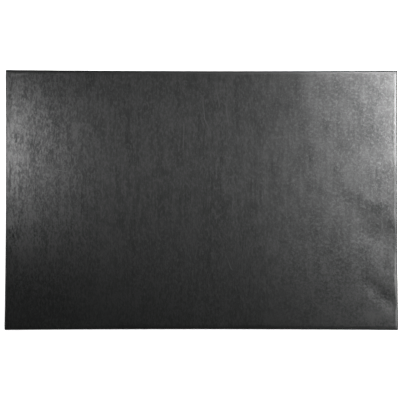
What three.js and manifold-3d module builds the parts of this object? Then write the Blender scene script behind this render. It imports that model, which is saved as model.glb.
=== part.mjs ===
// Leather desk mat: a turned-edge cover, stitched close to its edge round a padded board and a non-slip backing.
// Millimetres. +X runs along the long side, +Y away from the person at the desk, +Z up.
// The origin is the middle of the underside, where the mat rests on the desk.
import * as THREE from "three";
import { mergeVertices } from "three/addons/utils/BufferGeometryUtils.js";
import Module from "manifold-3d";

const wasm = await Module();
wasm.setup();

// Outline, measured over the corners. Sewing draws each side in a little between its corners.
const WIDTH = 600;
const DEPTH = 397;
const CORNER_RADIUS = 1.5;
const INNER_CORNER_RADIUS = 0.5;
const SIDE_BOW = 1.25;
const CURVE_STEPS = 6;

// Thicknesses. Each is a whole number of eighths, so that stacked sheets meet exactly in 32-bit coordinates.
const BACKING = 0.75;
const FILM = 0.125;
const HEM = 0.625;
const BOARD = 1;
const PADDING = 0.25;
const LEATHER = 1;

// Levels above the desk, from the bottom of the stack to the top.
const BACKING_TOP = BACKING;
const HEM_BOTTOM = BACKING_TOP + FILM;
const HEM_TOP = HEM_BOTTOM + HEM;
const BOARD_BOTTOM = HEM_TOP + FILM;
const BOARD_TOP = BOARD_BOTTOM + BOARD;
const PADDING_BOTTOM = BOARD_TOP + FILM;
const PADDING_TOP = PADDING_BOTTOM + PADDING;
const COVER_FIELD_BOTTOM = PADDING_TOP + FILM;
const MARGIN_TOP = BOARD_TOP + LEATHER;
const FIELD_TOP = COVER_FIELD_BOTTOM + LEATHER;

// How far each piece stops inside the outline.
const BACKING_INSET = 0.9;
const GLUE_INSET = 3;
const WALL = 0.9;
const BOARD_INSET = 1.2;
const PADDING_INSET = 7.5;
const PADDING_GAP = 0.3;
const SEAM_INSET = 1.625;
const HEM_WIDTH = 14;
const FILLER_GAP = 0.4;
const TAPE_INSET = 4.25;
const TAPE_WIDTH = 7.75;
const TAPE_END_GAP = 1;

// The cover's rounded fold, and the shoulder where it climbs from the seam onto the padding.
const FOLD_RADIUS = 0.625;
const FOLD_STEPS = 3;
const SHOULDER_TOP_INSET = 7.25;
const SHOULDER_RUN = 5;
const MITRE_SLIT = 0.4;

// The thread of the seam and the furrow that it is drawn into.
const THREAD = 0.5;
const THREAD_BEVEL = 0.125;
const FURROW_WIDTH = 0.75;
const UPPER_FURROW = 0.3125;
const LOWER_FURROW = 0.5625;

const BLACK_LEATHER = { color: 0x1b1c1c, roughness: 0.42 };
const BLACK_THREAD = { color: 0x151515, roughness: 0.7 };
const BLACK_MICROFIBRE = { color: 0x1e1e20, roughness: 0.95 };
const GREY_FOAM = { color: 0x8a8c8e, roughness: 0.9 };
const BROWN_BOARD = { color: 0x7a6248, roughness: 0.85 };
const GREY_CARD = { color: 0x948975, roughness: 0.85 };
const CLEAR_FILM = { color: 0xd9d2b8, roughness: 0.4 };
const WELD = 1e-4;

// The mat's outline, moved inwards by inset. Each side is one shallow curve between two small corner arcs.
function matOutline(inset, Path = THREE.Shape) {
  const x = WIDTH / 2 - inset;
  const y = DEPTH / 2 - inset;
  const r = Math.max(CORNER_RADIUS - inset, INNER_CORNER_RADIUS);
  const pull = 2 * SIDE_BOW;
  const path = new Path();
  path.moveTo(-x + r, -y);
  path.quadraticCurveTo(0, -y + pull, x - r, -y);
  path.absarc(x - r, -y + r, r, -Math.PI / 2, 0);
  path.quadraticCurveTo(x - pull, 0, x, y - r);
  path.absarc(x - r, y - r, r, 0, Math.PI / 2);
  path.quadraticCurveTo(0, y - pull, -x + r, y);
  path.absarc(-x + r, y - r, r, Math.PI / 2, Math.PI);
  path.quadraticCurveTo(-x + pull, 0, -x, -y + r);
  path.absarc(-x + r, -y + r, r, Math.PI, 1.5 * Math.PI);
  return path;
}

// Extrudes a shape from one level to another. A bevel slopes or rounds the side walls near both ends.
// The walls between the bevels stand out from the end faces by the bevel's run, and spread says how much
// of that run lies outside the shape.
function extrude(shape, bottom, top, bevel = { run: 0, rise: 0, steps: 0, spread: 0 }) {
  const geometry = new THREE.ExtrudeGeometry(shape, {
    depth: top - bottom - 2 * bevel.rise,
    curveSegments: CURVE_STEPS,
    bevelEnabled: bevel.steps > 0,
    bevelSize: bevel.run,
    bevelOffset: bevel.spread - bevel.run,
    bevelThickness: bevel.rise,
    bevelSegments: bevel.steps,
  });
  return geometry.translate(0, 0, bottom + bevel.rise);
}

function sheet(inset, bottom, top) {
  return extrude(matOutline(inset), bottom, top);
}

// A band that follows the outline all the way round, centred on the seam.
function seamBand(width, bottom, top, bevel) {
  const shape = matOutline(SEAM_INSET - width / 2);
  shape.holes.push(matOutline(SEAM_INSET + width / 2, THREE.Path));
  return extrude(shape, bottom, top, bevel);
}

function solid(geometry) {
  const bare = geometry.clone();
  bare.deleteAttribute("normal");
  bare.deleteAttribute("uv");
  const merged = mergeVertices(bare, WELD);
  return new wasm.Manifold(
    new wasm.Mesh({
      numProp: 3,
      vertProperties: merged.attributes.position.array,
      triVerts: new Uint32Array(merged.index.array),
    }),
  );
}

function geometryOf(manifold) {
  const { vertProperties, triVerts } = manifold.getMesh();
  const geometry = new THREE.BufferGeometry();
  geometry.setAttribute("position", new THREE.BufferAttribute(vertProperties, 3));
  geometry.setIndex(new THREE.BufferAttribute(triVerts, 1));
  geometry.computeVertexNormals();
  return geometry;
}

function cut(geometry, ...tools) {
  return geometryOf(tools.reduce((body, tool) => body.subtract(solid(tool)), solid(geometry)));
}

// A thin upright blade across one corner, which leaves the mitre between two turned flaps.
function mitreBlade(signX, signY) {
  const reach = HEM_WIDTH - WALL;
  const blade = new THREE.BoxGeometry(reach * Math.SQRT2, MITRE_SLIT, HEM + 2 * FILM);
  blade.rotateZ((signX * signY * Math.PI) / 4);
  const middle = (HEM_WIDTH + WALL) / 2;
  return blade.translate(
    signX * (WIDTH / 2 - middle),
    signY * (DEPTH / 2 - middle),
    HEM_BOTTOM + HEM / 2 - FILM,
  );
}

// One hide: a field over the padding, a shoulder down to the seam, a rounded fold at the rim and four flaps
// turned under the board.
function leatherCover() {
  const fold = { run: FOLD_RADIUS, rise: FOLD_RADIUS, steps: FOLD_STEPS, spread: 0 };
  const rim = extrude(matOutline(0), HEM_BOTTOM, MARGIN_TOP, fold);
  const climb = FIELD_TOP - MARGIN_TOP;
  const shoulder = { run: SHOULDER_RUN, rise: climb, steps: 1, spread: SHOULDER_RUN };
  const field = extrude(matOutline(SHOULDER_TOP_INSET), BOARD_TOP, FIELD_TOP, shoulder);
  const whole = geometryOf(solid(rim).add(solid(field)));
  return cut(
    whole,
    sheet(WALL, HEM_TOP, BOARD_TOP),
    sheet(PADDING_INSET - PADDING_GAP, HEM_TOP, COVER_FIELD_BOTTOM),
    sheet(HEM_WIDTH, HEM_BOTTOM - FILM, BOARD_BOTTOM),
    seamBand(FURROW_WIDTH, MARGIN_TOP - UPPER_FURROW, FIELD_TOP),
    ...[-1, 1].flatMap((x) => [-1, 1].map((y) => mitreBlade(x, y))),
  );
}

function backingSheet() {
  return cut(sheet(BACKING_INSET, 0, BACKING_TOP), seamBand(FURROW_WIDTH, -FILM, LOWER_FURROW));
}

// One thread of the lockstitch, drawn as the plain bead that its stitches fill.
function threadBead(bottom) {
  const round = { run: THREAD_BEVEL, rise: THREAD_BEVEL, steps: 1, spread: 0 };
  return seamBand(THREAD, bottom, bottom + THREAD, round);
}

// A straight strip of double-sided tape on one flap. The two side strips end short of the front and back ones.
function hemTape(side) {
  const alongX = side === "front" || side === "back";
  const sign = side === "front" || side === "left" ? -1 : 1;
  const endInset = TAPE_END_GAP + (alongX ? TAPE_INSET : TAPE_INSET + TAPE_WIDTH);
  const span = (alongX ? WIDTH : DEPTH) - 2 * endInset;
  const middle = (alongX ? DEPTH : WIDTH) / 2 - TAPE_INSET - TAPE_WIDTH / 2;
  const size = alongX ? [span, TAPE_WIDTH] : [TAPE_WIDTH, span];
  const place = alongX ? [0, sign * middle] : [sign * middle, 0];
  return new THREE.BoxGeometry(...size, FILM).translate(...place, HEM_TOP + FILM / 2);
}

function piece(name, geometry, finish) {
  const mesh = new THREE.Mesh(geometry, new THREE.MeshStandardMaterial({ metalness: 0, ...finish }));
  mesh.name = name;
  return mesh;
}

const fillerInset = HEM_WIDTH + FILLER_GAP;
const mat = new THREE.Group();
mat.add(
  piece("leather_cover", leatherCover(), BLACK_LEATHER),
  piece("upper_thread", threadBead(MARGIN_TOP - UPPER_FURROW), BLACK_THREAD),
  piece("cover_adhesive", sheet(PADDING_INSET, PADDING_TOP, COVER_FIELD_BOTTOM), CLEAR_FILM),
  piece("padding_sheet", sheet(PADDING_INSET, PADDING_BOTTOM, PADDING_TOP), GREY_FOAM),
  piece("padding_adhesive", sheet(PADDING_INSET, BOARD_TOP, PADDING_BOTTOM), CLEAR_FILM),
  piece("stiffener_board", sheet(BOARD_INSET, BOARD_BOTTOM, BOARD_TOP), BROWN_BOARD),
  ...["front", "back", "left", "right"].map((side) =>
    piece(`hem_tape_${side}`, hemTape(side), CLEAR_FILM),
  ),
  piece("filler_adhesive", sheet(fillerInset, HEM_TOP, BOARD_BOTTOM), CLEAR_FILM),
  piece("filler_sheet", sheet(fillerInset, HEM_BOTTOM, HEM_TOP), GREY_CARD),
  piece("backing_adhesive", sheet(GLUE_INSET, BACKING_TOP, HEM_BOTTOM), CLEAR_FILM),
  piece("backing_sheet", backingSheet(), BLACK_MICROFIBRE),
  piece("lower_thread", threadBead(LOWER_FURROW - THREAD), BLACK_THREAD),
);

export default mat;
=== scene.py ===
"""A black leather desk mat: turned-edge cover, lockstitched seam and non-slip backing, on a pale floor."""

import math

import bmesh
import bpy
from mathutils import Matrix, Vector, noise


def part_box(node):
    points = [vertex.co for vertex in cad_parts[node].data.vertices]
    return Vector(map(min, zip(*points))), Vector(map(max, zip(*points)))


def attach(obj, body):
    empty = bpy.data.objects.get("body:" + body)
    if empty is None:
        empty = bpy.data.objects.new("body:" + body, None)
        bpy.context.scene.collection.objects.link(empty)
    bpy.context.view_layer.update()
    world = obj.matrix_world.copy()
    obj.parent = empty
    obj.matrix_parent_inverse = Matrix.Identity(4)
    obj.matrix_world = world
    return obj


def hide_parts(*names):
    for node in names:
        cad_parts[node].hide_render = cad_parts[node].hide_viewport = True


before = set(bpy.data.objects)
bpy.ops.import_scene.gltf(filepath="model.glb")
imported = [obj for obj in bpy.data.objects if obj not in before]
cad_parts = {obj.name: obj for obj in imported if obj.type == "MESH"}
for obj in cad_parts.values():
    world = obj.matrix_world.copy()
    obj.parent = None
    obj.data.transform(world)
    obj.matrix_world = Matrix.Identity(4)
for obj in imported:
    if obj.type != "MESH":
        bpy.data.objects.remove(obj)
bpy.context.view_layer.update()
bpy.ops.object.select_all(action="DESELECT")

MM = 0.001

# ---------------------------------------------------------------- sizes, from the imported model


def low(node):
    """The lowest corner of a node."""
    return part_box(node)[0]


def high(node):
    """The highest corner of a node."""
    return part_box(node)[1]


HALF_X, HALF_Y, FIELD_TOP = high("leather_cover")
FIELD_UNDER = high("cover_adhesive").z
BOARD_TOP = high("stiffener_board").z
MARGIN_TOP = BOARD_TOP + FIELD_TOP - FIELD_UNDER
FLAP_UNDER = low("leather_cover").z
FLAP_TOP = low("hem_tape_front").z

THREAD = high("upper_thread").z - low("upper_thread").z
SEAM = HALF_X - high("upper_thread").x + THREAD / 2
BACKING_EDGE = HALF_X - high("backing_sheet").x
PADDING_EDGE = HALF_X - high("padding_sheet").x
FLAP_EDGE = HALF_X - high("filler_sheet").x - 0.4 * MM
# How far the upright inside face of the cover is from its outside.
WALL = 0.9 * MM
# What the hide keeps clear of the padding and the board.
CLEARANCE = 0.3 * MM

# ---------------------------------------------------------------- the outline and its stitches

# How far the middle of each side lies inside a straight line between its corners.
SIDE_BOW = 1.25 * MM
CORNER_RADIUS = 1.5 * MM
TIGHTEST_RADIUS = 0.3 * MM
WIDEST_RADIUS = 6 * MM
# Where the corners of the rings start to get rounder, going inwards, and how fast they do.
EASING_INSET = 2.2 * MM
EASING = 0.9
STITCHES = {"front": 170, "right": 112, "back": 170, "left": 112}
# Where the mesh has points along each stitch, as shares of its length: the needle hole, its rim, the middle.
HOLE_RIM = 0.12
PHASES = (0.0, HOLE_RIM, 0.5, 1 - HOLE_RIM)
HOLES_ONLY = (0.0,)


def on_side(side, t, inset):
    """The point at t, from -1 to 1, along one side of the outline moved inwards by inset."""
    x, y = HALF_X - inset, HALF_Y - inset
    bow = SIDE_BOW * (1 - t * t)
    if side == "front":
        return Vector((t * x, bow - y, 0))
    if side == "right":
        return Vector((x - bow, t * y, 0))
    if side == "back":
        return Vector((-t * x, y - bow, 0))
    return Vector((bow - x, -t * y, 0))


def rounded(point, inset, radius):
    """The point, drawn onto the arc of its corner if it lies closer to the corner than the radius."""
    x, y = HALF_X - inset - radius, HALF_Y - inset - radius
    if abs(point.x) <= x or abs(point.y) <= y:
        return point
    centre = Vector((math.copysign(x, point.x), math.copysign(y, point.y), 0))
    return centre + (point - centre).normalized() * radius


def corner_radius(inset):
    """Tight at the fold and the seam, and easier where the cover climbs onto the padding."""
    eased = EASING * (inset - EASING_INSET)
    return min(max(CORNER_RADIUS - inset, TIGHTEST_RADIUS, eased), WIDEST_RADIUS)


def around(phases):
    """Every mesh point of a ring: its side, its place along it, and its phase within a stitch."""
    return [
        (side, 2 * (stitch + phase) / count - 1, phase)
        for side, count in STITCHES.items()
        for stitch in range(count)
        for phase in phases
    ]


def ring(mesh, inset, height, phases=PHASES, radius=None):
    """Adds a closed ring of points. height is a number, or a function of the phase."""
    radius = corner_radius(inset) if radius is None else radius
    made = []
    for side, t, phase in around(phases):
        point = rounded(on_side(side, t, inset), inset, radius)
        point.z = height(phase) if callable(height) else height
        made.append(mesh.verts.new(point))
    return made


def bridge(mesh, first, second):
    """Quads between two rings. A ring with a point for each stitch takes a fan from one with four."""
    step = len(first) // len(second)
    if step == 1:
        for i in range(len(first)):
            mesh.faces.new((first[i - 1], first[i], second[i], second[i - 1]))
        return
    for i in range(len(second)):
        a = second[i - 1]
        b = second[i]
        fine = [first[(i - 1) * step + k] for k in range(step)] + [first[i * step]]
        middle = step // 2
        for k in range(step):
            mesh.faces.new((fine[k], fine[k + 1], a if k < middle else b))
        mesh.faces.new((a, fine[middle], b))


def finished(mesh, name, angle):
    """The object of a finished bmesh, with its faces pointing out and its edges smooth up to an angle."""
    bmesh.ops.recalc_face_normals(mesh, faces=mesh.faces)
    if mesh.calc_volume(signed=True) < 0:
        bmesh.ops.reverse_faces(mesh, faces=mesh.faces)
    data = bpy.data.meshes.new(name)
    mesh.to_mesh(data)
    mesh.free()
    made = bpy.data.objects.new(name, data)
    bpy.context.collection.objects.link(made)
    bpy.context.view_layer.objects.active = made
    made.select_set(True)
    bpy.ops.object.shade_smooth_by_angle(angle=math.radians(angle))
    made.select_set(False)
    return made


# ---------------------------------------------------------------- leather cover

# Soft folds of the hide over the padding: start and end in millimetres, height and width in millimetres.
FOLDS = (
    ((215, 5), (258, -52), -0.45, 18),
    ((258, -52), (300, -62), -0.45, 18),
    ((252, -127), (291, -157), -0.60, 12),
    ((-305, -45), (-300, -72), 0.60, 17),
    ((-335, 0), (-335, 140), -1.2, 46),
    ((60, 199), (95, 120), 0.12, 26),
    ((-120, -199), (-60, -110), 0.12, 30),
)
# Long slack waves all over the hide: height and length in millimetres.
WAVES = ((0.28, 150), (0.14, 62), (0.06, 24), (0.03, 13))
# How far in from the seam the waves and folds reach their full height.
SLACK_REACH = 8 * MM


def to_segment(point, start, end):
    """The distance from a point to a straight line between two others, in their plane."""
    along = end - start
    share = (point - start).dot(along) / along.length_squared
    return (point - start - along * min(max(share, 0), 1)).length


def hide_rise(x, y):
    """How far the top of the hide stands off its plane: long slack waves and a few soft folds."""
    rise = 0.0
    for height, length in WAVES:
        rise += height * MM * noise.noise(Vector((x / (length * MM), y / (length * MM), length)))
    for start, end, height, width in FOLDS:
        away = to_segment(Vector((x, y)), Vector(start) * MM, Vector(end) * MM) / (width * MM)
        rise += height * MM * math.exp(-away * away)
    return rise


def smooth_step(t):
    """0 below 0 and 1 above 1, with a smooth change between them."""
    t = min(max(t, 0.0), 1.0)
    return t * t * (3 - 2 * t)


# The seam draws the hide down into a margin that slopes gently up to the field.
MARGIN_WIDTH = 4.9 * MM
MARGIN_SLOPE = 0.1
MARGIN_BEND = 0.55 * MM
FIELD_INSET = 11 * MM
# The furrow under the thread, its needle holes, and the pucker of the hide between them and its reach.
FURROW_DEPTH = 0.24 * MM
HOLE_DEPTH = 0.42 * MM
RIM_SHARE = 0.35
PUCKER = 0.05 * MM
PUCKER_REACH = 0.9 * MM
# The radii of the upper and the lower turn of the edge.
CROWN = 1.1 * MM
FOLD = 0.75 * MM
MARGIN_INSETS = (9, 7.4, 6.4, 5.7, 5.1, 4.5, 3.9, 3.2, 2.6)
# The rings across the furrow: thread radii from the seam, and shares of the furrow, the hole and the pucker.
FURROW_RINGS = (
    (1.8, 0.1, 0.1, 1.0),
    (0.95, 0.75, 0.45, 0.3),
    (0, 1.0, 1.0, 0.0),
    (-0.95, 0.75, 0.45, 0.3),
    (-1.8, 0.1, 0.1, 1.0),
)


def edge_level(inset):
    """The height of the hide above the desk: level in the field, and sloping down to the seam."""
    reach = (MARGIN_WIDTH - max(inset, SEAM)) / MARGIN_BEND
    return FIELD_TOP - MARGIN_SLOPE * MARGIN_BEND * math.log(1 + math.exp(reach))


def near_hole(phase):
    """1 at a needle hole, part of it at the hole's rim, 0 halfway along a stitch."""
    return 1.0 if phase == 0 else 0.0 if phase == 0.5 else RIM_SHARE


def pulled(base, furrow=0.0, hole=0.0, pucker=0.0):
    """A ring's height near the seam: low in the furrow, lowest at a needle hole, puckered between them."""

    def height(phase):
        deep = furrow * FURROW_DEPTH + hole * near_hole(phase) * HOLE_DEPTH
        return base - deep + pucker * (1 - near_hole(phase)) * PUCKER

    return height


def cover_rings(mesh):
    """The rings of the cover from the field out to the rim and under to the flap."""
    rings = []
    for inset in MARGIN_INSETS:
        pucker = math.exp((SEAM - inset * MM) / PUCKER_REACH)
        rings.append(ring(mesh, inset * MM, pulled(edge_level(inset * MM), pucker=pucker)))
    margin = edge_level(SEAM)
    for step, furrow, hole, pucker in FURROW_RINGS:
        inset = SEAM + step * THREAD / 2
        rings.append(ring(mesh, inset, pulled(edge_level(inset), furrow, hole, pucker)))
    for degrees in (12, 30, 50, 70, 90):
        turn = math.radians(degrees)
        inset = CROWN * (1 - math.sin(turn))
        rings.append(ring(mesh, inset, pulled(margin - CROWN * (1 - math.cos(turn)), pucker=0.5)))
    for degrees in (0, 30, 60, 90):
        turn = math.radians(degrees)
        rings.append(ring(mesh, FOLD * (1 - math.cos(turn)), FLAP_UNDER + FOLD * (1 - math.sin(turn))))
    return rings


def field_grid(mesh, rim, inset):
    """The top of the field: a grid with a line for each stitch, whose outermost lines are the given ring."""
    across, deep = STITCHES["front"], STITCHES["right"]
    edge = {}
    for i, vert in enumerate(rim):
        if i < across:
            edge[(i, 0)] = vert
        elif i < across + deep:
            edge[(across, i - across)] = vert
        elif i < 2 * across + deep:
            edge[(across - (i - across - deep), deep)] = vert
        else:
            edge[(0, deep - (i - 2 * across - deep))] = vert
    x, y = HALF_X - inset, HALF_Y - inset
    for i in range(1, across):
        for j in range(1, deep):
            s, t = 2 * i / across - 1, 2 * j / deep - 1
            place = Vector(
                (s * (x - SIDE_BOW * (1 - t * t)), t * (y - SIDE_BOW * (1 - s * s)), FIELD_TOP)
            )
            edge[(i, j)] = mesh.verts.new(place)
    for i in range(across):
        for j in range(deep):
            mesh.faces.new((edge[(i, j)], edge[(i + 1, j)], edge[(i + 1, j + 1)], edge[(i, j + 1)]))


def lift_hide(verts):
    """Moves the top of the hide by its waves and folds, which die away down the shoulder."""
    for vert in verts:
        if vert.co.z > MARGIN_TOP:
            inset = min(HALF_X - abs(vert.co.x), HALF_Y - abs(vert.co.y))
            share = smooth_step((inset - SEAM) / SLACK_REACH)
            vert.co.z += share * hide_rise(vert.co.x, vert.co.y)


def leather_cover():
    """One hide: field, shoulder, seam furrow, rounded rim, and four flaps turned under and mitred."""
    mesh = bmesh.new()
    outer = cover_rings(mesh)
    for first, second in zip(outer, outer[1:]):
        bridge(mesh, first, second)
    rim = ring(mesh, FIELD_INSET, FIELD_TOP, HOLES_ONLY)
    bridge(mesh, outer[0], rim)
    field_grid(mesh, rim, FIELD_INSET)
    lift_hide(mesh.verts)
    inner = [
        ring(mesh, inset, height, HOLES_ONLY, TIGHTEST_RADIUS)
        for inset, height in (
            (2.5 * MM, FLAP_UNDER),
            (FLAP_EDGE, FLAP_UNDER),
            (FLAP_EDGE, FLAP_TOP),
            (WALL, FLAP_TOP),
            (WALL, BOARD_TOP),
            (PADDING_EDGE - CLEARANCE, BOARD_TOP),
            (PADDING_EDGE - CLEARANCE, FIELD_UNDER),
        )
    ]
    bridge(mesh, outer[-1], inner[0])
    for first, second in zip(inner, inner[1:]):
        bridge(mesh, first, second)
    mesh.faces.new(inner[-1])
    return finished(mesh, "leather_hide", 40)


cover = leather_cover()
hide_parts("leather_cover")
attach(cover, "root")

# ---------------------------------------------------------------- seam threads

PLIES = 3
STITCH_RINGS = 8
# The depth of the grooves between the plies, as a share of the radius, and the twist along one stitch.
PLY_GROOVE = 0.14
PLY_TWIST = math.radians(150)
# Where a stitch starts to dive, as a share of half its length, how deep it goes, and how much it thins.
DIVE_START = 0.62
DIVE_DEPTH = 0.62 * MM
DIVE_NARROWING = 0.3
# A stitch's share of the distance between its holes, and how unevenly the stitches lie.
STITCH_SHARE = 0.97
UNEVEN_HEIGHT = 0.02 * MM
UNEVEN_TURN = 0.035
# Steps through the noise, far enough apart that neighbouring stitches have nothing in common.
UNEVEN_STEP = 7.31


def stitch(length):
    """One stitch along X: twisted plies, with both ends bent down into their holes."""
    bpy.ops.mesh.primitive_cylinder_add(
        vertices=2 * PLIES, radius=THREAD / 2, depth=length, rotation=(0, math.pi / 2, 0)
    )
    made = bpy.context.object
    bpy.ops.object.transform_apply(location=False, rotation=True, scale=False)
    bpy.ops.object.mode_set(mode="EDIT")
    mesh = bmesh.from_edit_mesh(made.data)
    for edge in mesh.edges:
        edge.select = abs(edge.verts[0].co.x - edge.verts[1].co.x) > length / 2
    mesh.select_flush_mode()
    bpy.ops.mesh.subdivide(number_cuts=STITCH_RINGS - 1)
    mesh = bmesh.from_edit_mesh(made.data)
    for vert in mesh.verts:
        angle = math.atan2(vert.co.z, vert.co.y)
        lobe = 1 - PLY_GROOVE * (1 - math.cos(PLIES * angle))
        vert.co.y *= lobe
        vert.co.z *= lobe
    for vert in mesh.verts:
        end = abs(vert.co.x) / (length / 2)
        vert.co = Matrix.Rotation(PLY_TWIST * vert.co.x / length, 3, "X") @ vert.co
        dive = max(0.0, end - DIVE_START) / (1 - DIVE_START)
        narrow = 1 - DIVE_NARROWING * dive
        vert.co.y *= narrow
        vert.co.z = vert.co.z * narrow - DIVE_DEPTH * dive**2
    bmesh.update_edit_mesh(made.data)
    bpy.ops.object.mode_set(mode="OBJECT")
    bpy.ops.object.shade_smooth()
    bpy.ops.object.select_all(action="DESELECT")
    return made


def seam_thread(name, level, upward):
    """Copies of one stitch between all the needle holes of the seam, joined into one thread."""
    length = 2 * (HALF_X - SEAM) / STITCHES["front"]
    model = stitch(length * STITCH_SHARE)
    sense = Matrix.Identity(4) if upward else Matrix.Rotation(math.pi, 4, "X")
    holes = [on_side(side, t, SEAM) for side, t, _ in around(HOLES_ONLY)]
    pieces = []
    for i, start in enumerate(holes):
        end = holes[(i + 1) % len(holes)]
        middle = (start + end) / 2
        turn = math.atan2(end.y - start.y, end.x - start.x)
        wander = noise.noise(Vector((i * UNEVEN_STEP, level / MM, 0)))
        place = Matrix.Translation(middle + Vector((0, 0, level + UNEVEN_HEIGHT * wander)))
        data = model.data.copy()
        data.transform(place @ Matrix.Rotation(turn + UNEVEN_TURN * wander, 4, "Z") @ sense)
        copy = bpy.data.objects.new(name, data)
        bpy.context.collection.objects.link(copy)
        copy.select_set(True)
        pieces.append(copy)
    bpy.context.view_layer.objects.active = pieces[0]
    bpy.ops.object.join()
    made = pieces[0]
    made.name = name
    made.select_set(False)
    bpy.data.objects.remove(model)
    return made


upper_level = low("upper_thread").z + THREAD / 2 + 0.02 * MM
lower_level = low("lower_thread").z + THREAD / 2
upper_thread = seam_thread("upper_stitches", upper_level, True)
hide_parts("upper_thread")
lower_thread = seam_thread("lower_stitches", lower_level, False)
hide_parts("lower_thread")
for thread in (upper_thread, lower_thread):
    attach(thread, "root")

# ---------------------------------------------------------------- non-slip backing


# How deep the seam presses into the backing, and how much deeper at a needle hole.
BACKING_FURROW = 0.5 * MM
BACKING_HOLE = 0.12 * MM
BACKING_INNER_INSET = 4 * MM
# The rings across its furrow: thread radii from the seam, and shares of the furrow and the hole.
BACKING_RINGS = (
    (3.0, 0, 0),
    (1.8, 0.1, 0),
    (1.0, 0.85, 0.5),
    (0, 1.0, 1.0),
    (-1.0, 0.85, 0.5),
    (-1.8, 0.2, 0),
)


def backing_sheet():
    """The non-slip sheet under the mat, drawn up into a furrow with needle holes along the seam."""
    mesh = bmesh.new()
    top = high("backing_sheet").z
    bottom = low("backing_sheet").z

    def raised(furrow, hole):
        return lambda phase: bottom + furrow * BACKING_FURROW + hole * near_hole(phase) * BACKING_HOLE

    under = ring(mesh, BACKING_INNER_INSET, bottom, HOLES_ONLY)
    fine = [
        ring(mesh, SEAM + step * THREAD / 2, raised(furrow, hole)) for step, furrow, hole in BACKING_RINGS
    ]
    # The cut edge, a little rounded below and above.
    fine += [
        ring(mesh, BACKING_EDGE + 0.06 * MM, bottom + 0.16 * MM),
        ring(mesh, BACKING_EDGE, bottom + 0.32 * MM),
        ring(mesh, BACKING_EDGE, top - 0.1 * MM),
        ring(mesh, BACKING_EDGE + 0.1 * MM, top),
    ]
    bridge(mesh, fine[0], under)
    for first, second in zip(fine, fine[1:]):
        bridge(mesh, first, second)
    over = ring(mesh, BACKING_INNER_INSET, top, HOLES_ONLY)
    bridge(mesh, fine[-1], over)
    mesh.faces.new(under)
    mesh.faces.new(over)
    return finished(mesh, "nonslip_backing", 50)


backing = backing_sheet()
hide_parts("backing_sheet")
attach(backing, "root")

# ---------------------------------------------------------------- shader maths


class Value:
    """A socket that holds a number, with Python's operators standing for Math nodes."""

    def __init__(self, shader, socket):
        self.shader = shader
        self.socket = socket

    def maths(self, operation, *others):
        inputs = dict(enumerate((self, *others)))
        return self.shader.node("ShaderNodeMath", {"operation": operation}, inputs).value()

    def __add__(self, other):
        return self.maths("ADD", other)

    def __sub__(self, other):
        return self.maths("SUBTRACT", other)

    def __rsub__(self, other):
        return self.shader.number(other).maths("SUBTRACT", self)

    def __mul__(self, other):
        return self.maths("MULTIPLY", other)

    __radd__ = __add__
    __rmul__ = __mul__

    def between(self, low, high):
        """0 below low and 1 above high, with a smooth change between them."""
        inputs = {"Value": self, "From Min": low, "From Max": high}
        settings = {"interpolation_type": "SMOOTHSTEP"}
        return self.shader.node("ShaderNodeMapRange", settings, inputs).value("Result")


class Made:
    """A node that node() made, whose outputs are taken by name or number."""

    def __init__(self, shader, made):
        self.shader = shader
        self.made = made

    def value(self, output=0):
        return Value(self.shader, self.made.outputs[output])


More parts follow.
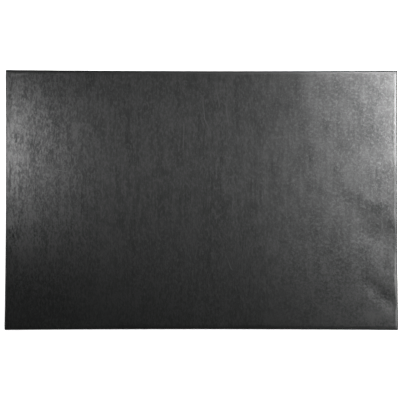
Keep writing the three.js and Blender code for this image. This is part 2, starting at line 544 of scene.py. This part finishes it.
class Shader:
    """A material under construction."""

    def __init__(self, name):
        self.material = bpy.data.materials.new(name)
        self.material.use_nodes = True
        self.tree = self.material.node_tree
        self.tree.nodes.clear()
        self.place = self.node("ShaderNodeTexCoord").value("Object")

    def node(self, kind, settings=None, inputs=None):
        """Adds a node, applies its settings, and then sets or links its inputs."""
        made = self.tree.nodes.new(kind)
        for key, value in (settings or {}).items():
            if key == "stops":
                stops = made.color_ramp.elements
                while len(stops) < len(value):
                    stops.new(0.5)
                for stop, (position, colour) in zip(stops, value):
                    stop.position = position
                    stop.color = (*colour, 1)
            else:
                setattr(made, key, value)
        for key, value in (inputs or {}).items():
            if isinstance(value, Value):
                self.tree.links.new(value.socket, made.inputs[key])
            else:
                made.inputs[key].default_value = value
        return Made(self, made)

    def number(self, value):
        """A plain number as a socket."""
        return self.node("ShaderNodeMath", {"operation": "ADD"}, {0: value, 1: 0.0}).value()

    def mapped(self, turn, scale):
        """The place on the piece, turned about Z and stretched."""
        inputs = {"Vector": self.place, "Rotation": (0, 0, math.radians(turn)), "Scale": scale}
        return self.node("ShaderNodeMapping", None, inputs).value()

    def noise(self, size, detail=2.0, rough=0.5, source=None, warp=0.0):
        """Noise from 0 to 1 whose lumps are about size metres across."""
        inputs = {
            "Vector": source or self.place,
            "Scale": 1 / size,
            "Detail": detail,
            "Roughness": rough,
            "Distortion": warp,
        }
        return self.node("ShaderNodeTexNoise", None, inputs).value("Fac")

    def cells(self, size, feature="F1", source=None):
        """The distance inside cells of about size metres, in shares of the cell size."""
        inputs = {"Vector": source or self.place, "Scale": 1 / size}
        return self.node("ShaderNodeTexVoronoi", {"feature": feature}, inputs).value("Distance")

    def warped(self, source, size, reach):
        """The place, moved about by up to reach metres by noise of the given size."""
        inputs = {"Vector": source, "Scale": 1 / size, "Detail": 1.0}
        wind = self.node("ShaderNodeTexNoise", None, inputs).value("Color")
        inputs = {0: wind, 1: (0.5, 0.5, 0.5)}
        centred = self.node("ShaderNodeVectorMath", {"operation": "SUBTRACT"}, inputs).value()
        inputs = {0: centred, "Scale": 2 * reach}
        scaled = self.node("ShaderNodeVectorMath", {"operation": "SCALE"}, inputs).value()
        inputs = {0: source, 1: scaled}
        return self.node("ShaderNodeVectorMath", {"operation": "ADD"}, inputs).value()

    def tilt(self):
        """0 where the piece is level, and 0.005 at a slope of one in ten."""
        normal = self.node("ShaderNodeNewGeometry").value("Normal")
        return 1 - self.node("ShaderNodeSeparateXYZ", None, {"Vector": normal}).value("Z")

    def axis(self, name):
        """The place along X, Y or Z in metres."""
        return self.node("ShaderNodeSeparateXYZ", None, {"Vector": self.place}).value(name)

    def blend(self, share, first, second):
        """One number fading into another."""
        return first + (second - first) * share

    def colours(self, share, *stops):
        """Colours spaced evenly along a share from 0 to 1."""
        spaced = [(i / (len(stops) - 1), stop) for i, stop in enumerate(stops)]
        return self.node("ShaderNodeValToRGB", {"stops": spaced}, {"Fac": share}).value("Color")

    def scar(self, source, start, end, width):
        """1 along the middle of a straight scar, fading to 0 at its width. Its ends are in metres."""
        along = Vector((*end, 0)) - Vector((*start, 0))
        level = Vector((*start, FIELD_TOP))
        kind = "ShaderNodeVectorMath"
        offset = self.node(kind, {"operation": "SUBTRACT"}, {0: source, 1: level}).value()
        reach = along / along.length_squared
        share = self.node(kind, {"operation": "DOT_PRODUCT"}, {0: offset, 1: reach}).value("Value")
        share = self.node("ShaderNodeClamp", None, {"Value": share}).value()
        foot = self.node(kind, {"operation": "SCALE"}, {0: along, "Scale": share}).value()
        away = self.node(kind, {"operation": "DISTANCE"}, {0: offset, 1: foot}).value("Value")
        return 1 - away.between(0.0, width)

    def patch(self, centre, reach):
        """1 in the middle of an oval, fading to 0 at its edge. Its middle and half axes are in metres."""
        inputs = {"Vector": self.place, "Location": (*centre, 0), "Scale": (*reach, 1)}
        oval = self.node("ShaderNodeMapping", {"vector_type": "TEXTURE"}, inputs).value()
        out = self.node("ShaderNodeVectorMath", {"operation": "LENGTH"}, {0: oval}).value("Value")
        return 1 - out.between(0.0, 1.0)

    def relief(self, height):
        """The surface's normals, bent by a height in metres."""
        inputs = {"Height": height, "Strength": 1.0, "Distance": 1.0}
        return self.node("ShaderNodeBump", None, inputs).value()

    def surface(self, colour, roughness, normals=None, **constants):
        """One finish of a surface. The constants are named after its sockets."""
        inputs = {"Base Color": colour, "Roughness": roughness}
        inputs.update({key.replace("_", " "): value for key, value in constants.items()})
        if normals is not None:
            inputs["Normal"] = normals
        return self.node("ShaderNodeBsdfPrincipled", None, inputs).value("BSDF")

    def mixed(self, share, first, second):
        """Two finishes of one surface, with the given share of the second."""
        return self.node("ShaderNodeMixShader", None, {0: share, 1: first, 2: second}).value()

    def finish(self, surface):
        """The finished material."""
        self.node("ShaderNodeOutputMaterial", None, {"Surface": surface})
        return self.material


# ---------------------------------------------------------------- finishes


# Old scratches and a healed vein in the hide, in millimetres from the middle of the mat.
SCARS = (
    ((2, 153), (5, 123)),
    ((5, 123), (10, 112)),
    ((22, 169), (28, 143)),
    ((37, 146), (42, 113)),
    ((-27, 115), (-28, 77)),
    ((37, -85), (47, -107)),
    ((-223, 45), (-206, 43)),
)
SCAR_WIDTH = 1.2 * MM

# Ovals that are rubbed smoother than the rest, or are rougher where the share is below 0: middle and half
# axes, in millimetres, and the share.
RUBBED = (
    ((-258, -24), (26, 34), 0.2),
    ((-262, -73), (24, 30), 0.3),
    ((-290, -52), (24, 18), -0.3),
    ((-240, -165), (100, 75), -0.4),
    ((-248, 78), (44, 34), -0.15),
    ((-240, 125), (26, 36), -0.2),
    ((219, 167), (32, 24), -0.2),
    ((265, 108), (26, 34), -0.3),
    ((231, 37), (30, 28), 0.2),
    ((268, -12), (30, 22), -0.35),
    ((290, -38), (24, 22), -0.4),
    ((277, -145), (30, 12), -0.3),
    ((262, -177), (32, 16), 0.25),
    ((105, -182), (36, 18), 0.2),
    ((190, -182), (36, 18), 0.2),
)


def in_metres(pair):
    return [part * MM for part in pair]


def leather_marks(shader):
    """The scars, from 0 to 1, and how much more rubbed the hide is than elsewhere."""
    wandering = shader.warped(shader.place, 12 * MM, 1.2 * MM)
    scars = 0.0
    for start, end in SCARS:
        scars = scars + shader.scar(wandering, in_metres(start), in_metres(end), SCAR_WIDTH)
    rubbed = 0.0
    for centre, reach, share in RUBBED:
        rubbed = rubbed + shader.patch(in_metres(centre), in_metres(reach)) * share
    return scars, rubbed


def black_leather():
    """Pigmented hide: satin lands with matt pits between them, drawn out along the hide on the left."""
    shader = Shader("black_leather")
    left = shader.axis("X").between(-0.12, -0.26)
    right = shader.axis("X").between(0.02, 0.20)
    front = shader.axis("Y").between(0.0, -0.14)
    loose = shader.warped(shader.place, 2.4 * MM, 0.5 * MM)
    pebble = shader.cells(1.15 * MM, "SMOOTH_F1", loose)
    drawn = shader.noise(2.6 * MM, 3.0, 0.78, shader.mapped(4, (1.0, 0.45, 1.0)), 0.3)
    blotchy = shader.noise(3.9 * MM, 3.0, 0.85, None, 0.6)
    grain = shader.blend(right, drawn, blotchy) - 0.5
    hairs = shader.noise(2.6 * MM, 1.0, 0.5, shader.mapped(3, (1.0, 0.09, 1.0)), 0.2) - 0.5
    growth = shader.noise(9 * MM, 2.0, 0.6, shader.mapped(-2, (1.0, 0.12, 1.0)), 0.2)
    slack = shader.noise(26 * MM, 2.0, 0.5)
    cloudy = shader.noise(60 * MM, 2.0)
    scars, rubbed = leather_marks(shader)
    pressed = shader.tilt().between(0.001, 0.003)

    crests = grain * (2.15 + left * 1.2 + front) + grain * grain * 10 + hairs * (0.45 - right * 0.2)
    uneven = (growth - 0.5) * 0.5 + (slack - 0.5) * 0.6 + pebble * 0.1
    pits = 0.30 - crests + uneven - scars * 0.9 - rubbed - pressed * 0.35
    pits = shader.node("ShaderNodeClamp", None, {"Value": pits}).value()
    height = pebble * (-0.03 * MM) + grain * (0.2 * MM) + slack * (0.25 * MM) - scars * (0.05 * MM)
    normals = shader.relief(height)
    colour = shader.colours(slack, (0.0030, 0.0033, 0.0032), (0.0060, 0.0065, 0.0063))
    land = shader.surface(colour, 0.292 + grain * 0.03 + cloudy * 0.02, normals)
    pit = shader.surface(colour, 0.7, normals, Specular_IOR_Level=0.1)
    return shader.finish(shader.mixed(pits, land, pit))


def black_thread():
    """Bonded polyester: fine filaments and a dull sheen."""
    shader = Shader("black_thread")
    fibres = shader.noise(0.12 * MM, 2.0, 0.6)
    colour = shader.colours(fibres, (0.004, 0.004, 0.004), (0.016, 0.016, 0.017))
    normals = shader.relief(fibres * (0.02 * MM))
    return shader.finish(shader.surface(colour, 0.5 + fibres * 0.3, normals))


def nonslip_microfibre():
    """Charcoal suede-like microfibre with a short nap."""
    shader = Shader("nonslip_microfibre")
    nap = shader.noise(0.5 * MM, 3.0, 0.7)
    brushed = shader.noise(9 * MM, 3.0, 0.6, shader.mapped(20, (1.0, 0.35, 1.0)), 0.5)
    tone = (brushed * 0.4 + nap * 0.6).between(0.3, 0.7)
    colour = shader.colours(tone, (0.016, 0.016, 0.018), (0.066, 0.066, 0.07))
    normals = shader.relief(nap * (0.15 * MM) + brushed * (0.05 * MM))
    return shader.finish(shader.surface(colour, 0.85 + nap * 0.15, normals))


def grey_foam():
    """Closed-cell foam with small even bubbles."""
    shader = Shader("grey_foam")
    bubbles = shader.cells(0.35 * MM)
    colour = shader.colours(bubbles, (0.18, 0.19, 0.20), (0.32, 0.33, 0.34))
    normals = shader.relief(bubbles * (0.05 * MM))
    return shader.finish(shader.surface(colour, 0.85 + bubbles * 0.1, normals))


def pressed_board(name, dark, light):
    """Pressed fibre: short flakes lying every way."""
    shader = Shader(name)
    flakes = shader.noise(1.6 * MM, 4.0, 0.65, None, 1.2)
    colour = shader.colours(flakes, dark, light)
    normals = shader.relief(flakes * (0.05 * MM))
    return shader.finish(shader.surface(colour, 0.75 + flakes * 0.2, normals))


def adhesive_film():
    """Dried contact adhesive, thin and amber, with faint roller marks."""
    shader = Shader("adhesive_film")
    roller = shader.noise(3 * MM, 3.0, 0.6, shader.mapped(0, (1.0, 0.2, 1.0)))
    colour = shader.colours(roller, (0.42, 0.36, 0.2), (0.62, 0.56, 0.38))
    normals = shader.relief(roller * (0.03 * MM))
    return shader.finish(shader.surface(colour, 0.3 + roller * 0.25, normals))


cover.data.materials.append(black_leather())
thread_finish = black_thread()
for thread in (upper_thread, lower_thread):
    thread.data.materials.clear()
    thread.data.materials.append(thread_finish)
backing.data.materials.append(nonslip_microfibre())

film = adhesive_film()
INNER_FINISHES = {
    "padding_sheet": grey_foam(),
    "stiffener_board": pressed_board("brown_board", (0.13, 0.08, 0.04), (0.28, 0.19, 0.11)),
    "filler_sheet": pressed_board("grey_card", (0.22, 0.18, 0.13), (0.38, 0.33, 0.25)),
    "cover_adhesive": film,
    "padding_adhesive": film,
    "filler_adhesive": film,
    "backing_adhesive": film,
    "hem_tape_front": film,
    "hem_tape_back": film,
    "hem_tape_left": film,
    "hem_tape_right": film,
}
for node, finish in INNER_FINISHES.items():
    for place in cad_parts[node].material_slots:
        place.material = finish

# ---------------------------------------------------------------- studio

scene = bpy.context.scene
scene.view_settings.view_transform = "Standard"
scene.view_settings.look = "None"


def pale_floor():
    """A wide pale floor that glows a little, as an evenly lit one does."""
    bpy.ops.mesh.primitive_plane_add(size=60, location=(0, 0, 0))
    floor = bpy.context.object
    floor.name = "floor"
    shader = Shader("pale_floor")
    tone = shader.colours(shader.noise(0.8), (0.86, 0.86, 0.86), (0.88, 0.88, 0.88))
    glowing = shader.surface(tone, 0.9, Emission_Color=(1, 1, 1, 1), Emission_Strength=0.7)
    floor.data.materials.append(shader.finish(glowing))


def studio_surround(low, high):
    """A studio that is bright near the horizon and dim overhead."""
    world = bpy.data.worlds.new("studio")
    scene.world = world
    world.use_nodes = True
    tree = world.node_tree
    tree.nodes.clear()
    place = tree.nodes.new("ShaderNodeTexCoord")
    split = tree.nodes.new("ShaderNodeSeparateXYZ")
    fade = tree.nodes.new("ShaderNodeMapRange")
    fade.interpolation_type = "SMOOTHSTEP"
    fade.inputs["From Min"].default_value = 0.15
    fade.inputs["From Max"].default_value = 0.6
    fade.inputs["To Min"].default_value = high
    fade.inputs["To Max"].default_value = low
    light = tree.nodes.new("ShaderNodeBackground")
    light.inputs["Color"].default_value = (1, 1, 1, 1)
    output = tree.nodes.new("ShaderNodeOutputWorld")
    tree.links.new(place.outputs["Generated"], split.inputs["Vector"])
    tree.links.new(split.outputs["Z"], fade.inputs["Value"])
    tree.links.new(fade.outputs["Result"], light.inputs["Strength"])
    tree.links.new(light.outputs["Background"], output.inputs["Surface"])


def soft_box(name, place, aim, size, power):
    """A square soft box at a place, turned to face another. Only its light and its reflections show."""
    data = bpy.data.lights.new(name, "AREA")
    data.shape = "SQUARE"
    data.size = size
    data.energy = power
    made = bpy.data.objects.new(name, data)
    bpy.context.collection.objects.link(made)
    made.location = place
    made.rotation_euler = (aim - place).to_track_quat("-Z", "Y").to_euler()
    made.visible_camera = False


# Boxes high over the desk: angle from +X and angle above the horizon, in degrees, and power in watts.
HIGH_BOX_DISTANCE = 2.0
HIGH_BOX_SIZE = 0.35
HIGH_BOXES = {
    "right_high_box": (15, 75, 3.5),
    "back_top_box": (120, 80, 1.6),
    "back_high_box": (80, 62, 2.0),
}
# Low boxes beside the mat: where on the desk the eye sees each mirrored and its height, in metres, and its
# power in watts. The higher ones are larger.
LOW_BOX_SPREAD = 0.32
LOW_BOXES = {
    "left_box": (-0.33, 0.09, 0.5, 1.5),
    "left_middle_box": (-0.15, 0.02, 0.9, 0.15),
    "back_corner_box": (0.28, 0.27, 0.5, 2.0),
    "right_back_box": (0.39, 0.15, 0.5, 4.5),
    "right_side_box": (0.45, -0.10, 0.5, 2.2),
    "right_far_box": (0.33, 0.07, 0.9, 1.7),
}
# How far from its middle the boxes aim at the mat, across and along.
AIM_REACH = Vector((0.2, 0.12))
CAMERA_HEIGHT = 1.8


def place_boxes():
    for name, (direction, height, power) in HIGH_BOXES.items():
        turn, rise = math.radians(direction), math.radians(height)
        away = Vector((math.cos(rise) * math.cos(turn), math.cos(rise) * math.sin(turn), math.sin(rise)))
        soft_box(name, away * HIGH_BOX_DISTANCE, Vector(), HIGH_BOX_SIZE, power)
    for name, (across, along, height, power) in LOW_BOXES.items():
        spread = (CAMERA_HEIGHT + height) / CAMERA_HEIGHT
        place = Vector((across * spread, along * spread, height))
        aim_x = min(max(across, -AIM_REACH.x), AIM_REACH.x)
        aim_y = min(max(along, -AIM_REACH.y), AIM_REACH.y)
        soft_box(name, place, Vector((aim_x, aim_y, 0)), LOW_BOX_SPREAD * height, power)


def overhead_camera():
    """Almost straight above the mat, a little towards the person at the desk and to the left."""
    data = bpy.data.cameras.new("camera")
    data.sensor_width = 36
    data.lens = 106
    data.clip_start = 0.05
    data.clip_end = 100
    made = bpy.data.objects.new("camera", data)
    bpy.context.collection.objects.link(made)
    made.location = (-0.011, -0.043, CAMERA_HEIGHT)
    made.rotation_euler = [math.radians(angle) for angle in (1.36, -0.27, 0.05)]
    scene.camera = made


pale_floor()
studio_surround(low=0.0, high=1.0)
place_boxes()
overhead_camera()
